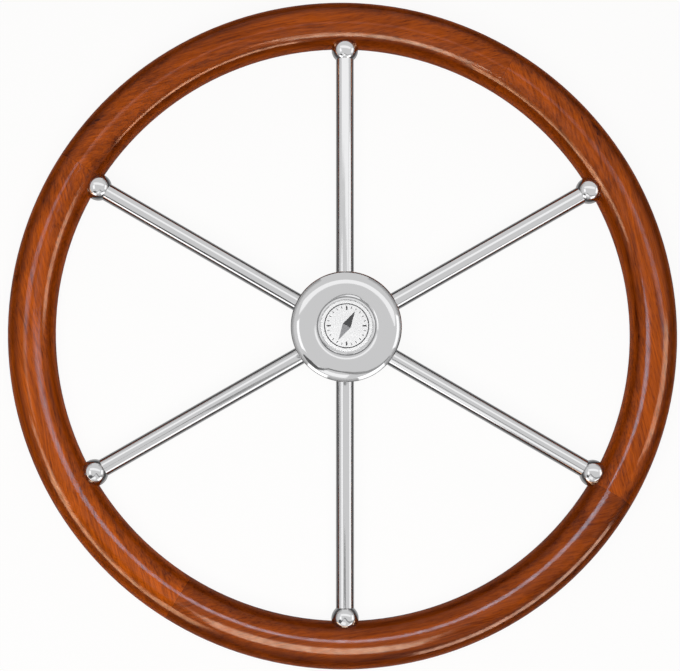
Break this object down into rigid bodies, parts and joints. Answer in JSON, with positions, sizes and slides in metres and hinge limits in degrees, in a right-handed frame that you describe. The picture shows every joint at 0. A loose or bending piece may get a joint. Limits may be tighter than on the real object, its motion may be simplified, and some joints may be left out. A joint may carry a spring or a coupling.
{
  "type": "boat steering wheel",
  "caption": "Boat steering wheel with a round varnished wooden rim, straight polished stainless spokes with ball ends, and a rounded hub with a keyed shaft bore and a white centre disc.",
  "frame": {"origin": "centre of the shaft bore at the hub's back face", "axes": "+Z along the shaft's axis, out of the wheel's face towards the helmsman, and +Y to the wheel's top, where the keyway and the first spoke are. The wheel lies face up."},
  "size_m": [0.45, 0.45, 0.0474],
  "materials": {
    "rim_wood": "clear gloss varnish over reddish brown wood",
    "tenon_wood": "plain pale wood, glued in",
    "polished_stainless": "mirror polished stainless steel",
    "plain_stainless": "as turned",
    "black_rubber": "matt",
    "white_enamel": "gloss white, low dome"
  },
  "bodies": {
    "root": {"hub": "polished_stainless", "centre_cap": "polished_stainless", "cap_ring": "black_rubber", "emblem_disc": "white_enamel", "rim_felloe_1": "rim_wood", "rim_felloe_2": "rim_wood", "rim_felloe_3": "rim_wood", "rim_felloe_4": "rim_wood", "rim_tenon_1": "tenon_wood", "rim_tenon_2": "tenon_wood", "rim_tenon_3": "tenon_wood", "rim_tenon_4": "tenon_wood", "spoke_1": "polished_stainless", "spoke_2": "polished_stainless", "spoke_3": "polished_stainless", "spoke_4": "polished_stainless", "spoke_5": "polished_stainless", "spoke_6": "polished_stainless", "spoke_ball_1": "polished_stainless", "spoke_ball_2": "polished_stainless", "spoke_ball_3": "polished_stainless", "spoke_ball_4": "polished_stainless", "spoke_ball_5": "polished_stainless", "spoke_ball_6": "polished_stainless", "rim_stud_1": "plain_stainless", "rim_stud_2": "plain_stainless", "rim_stud_3": "plain_stainless", "rim_stud_4": "plain_stainless", "rim_stud_5": "plain_stainless", "rim_stud_6": "plain_stainless", "set_screw_1": "plain_stainless", "set_screw_2": "plain_stainless", "set_screw_3": "plain_stainless", "set_screw_4": "plain_stainless", "set_screw_5": "plain_stainless", "set_screw_6": "plain_stainless"}
  },
  "joints": []
}
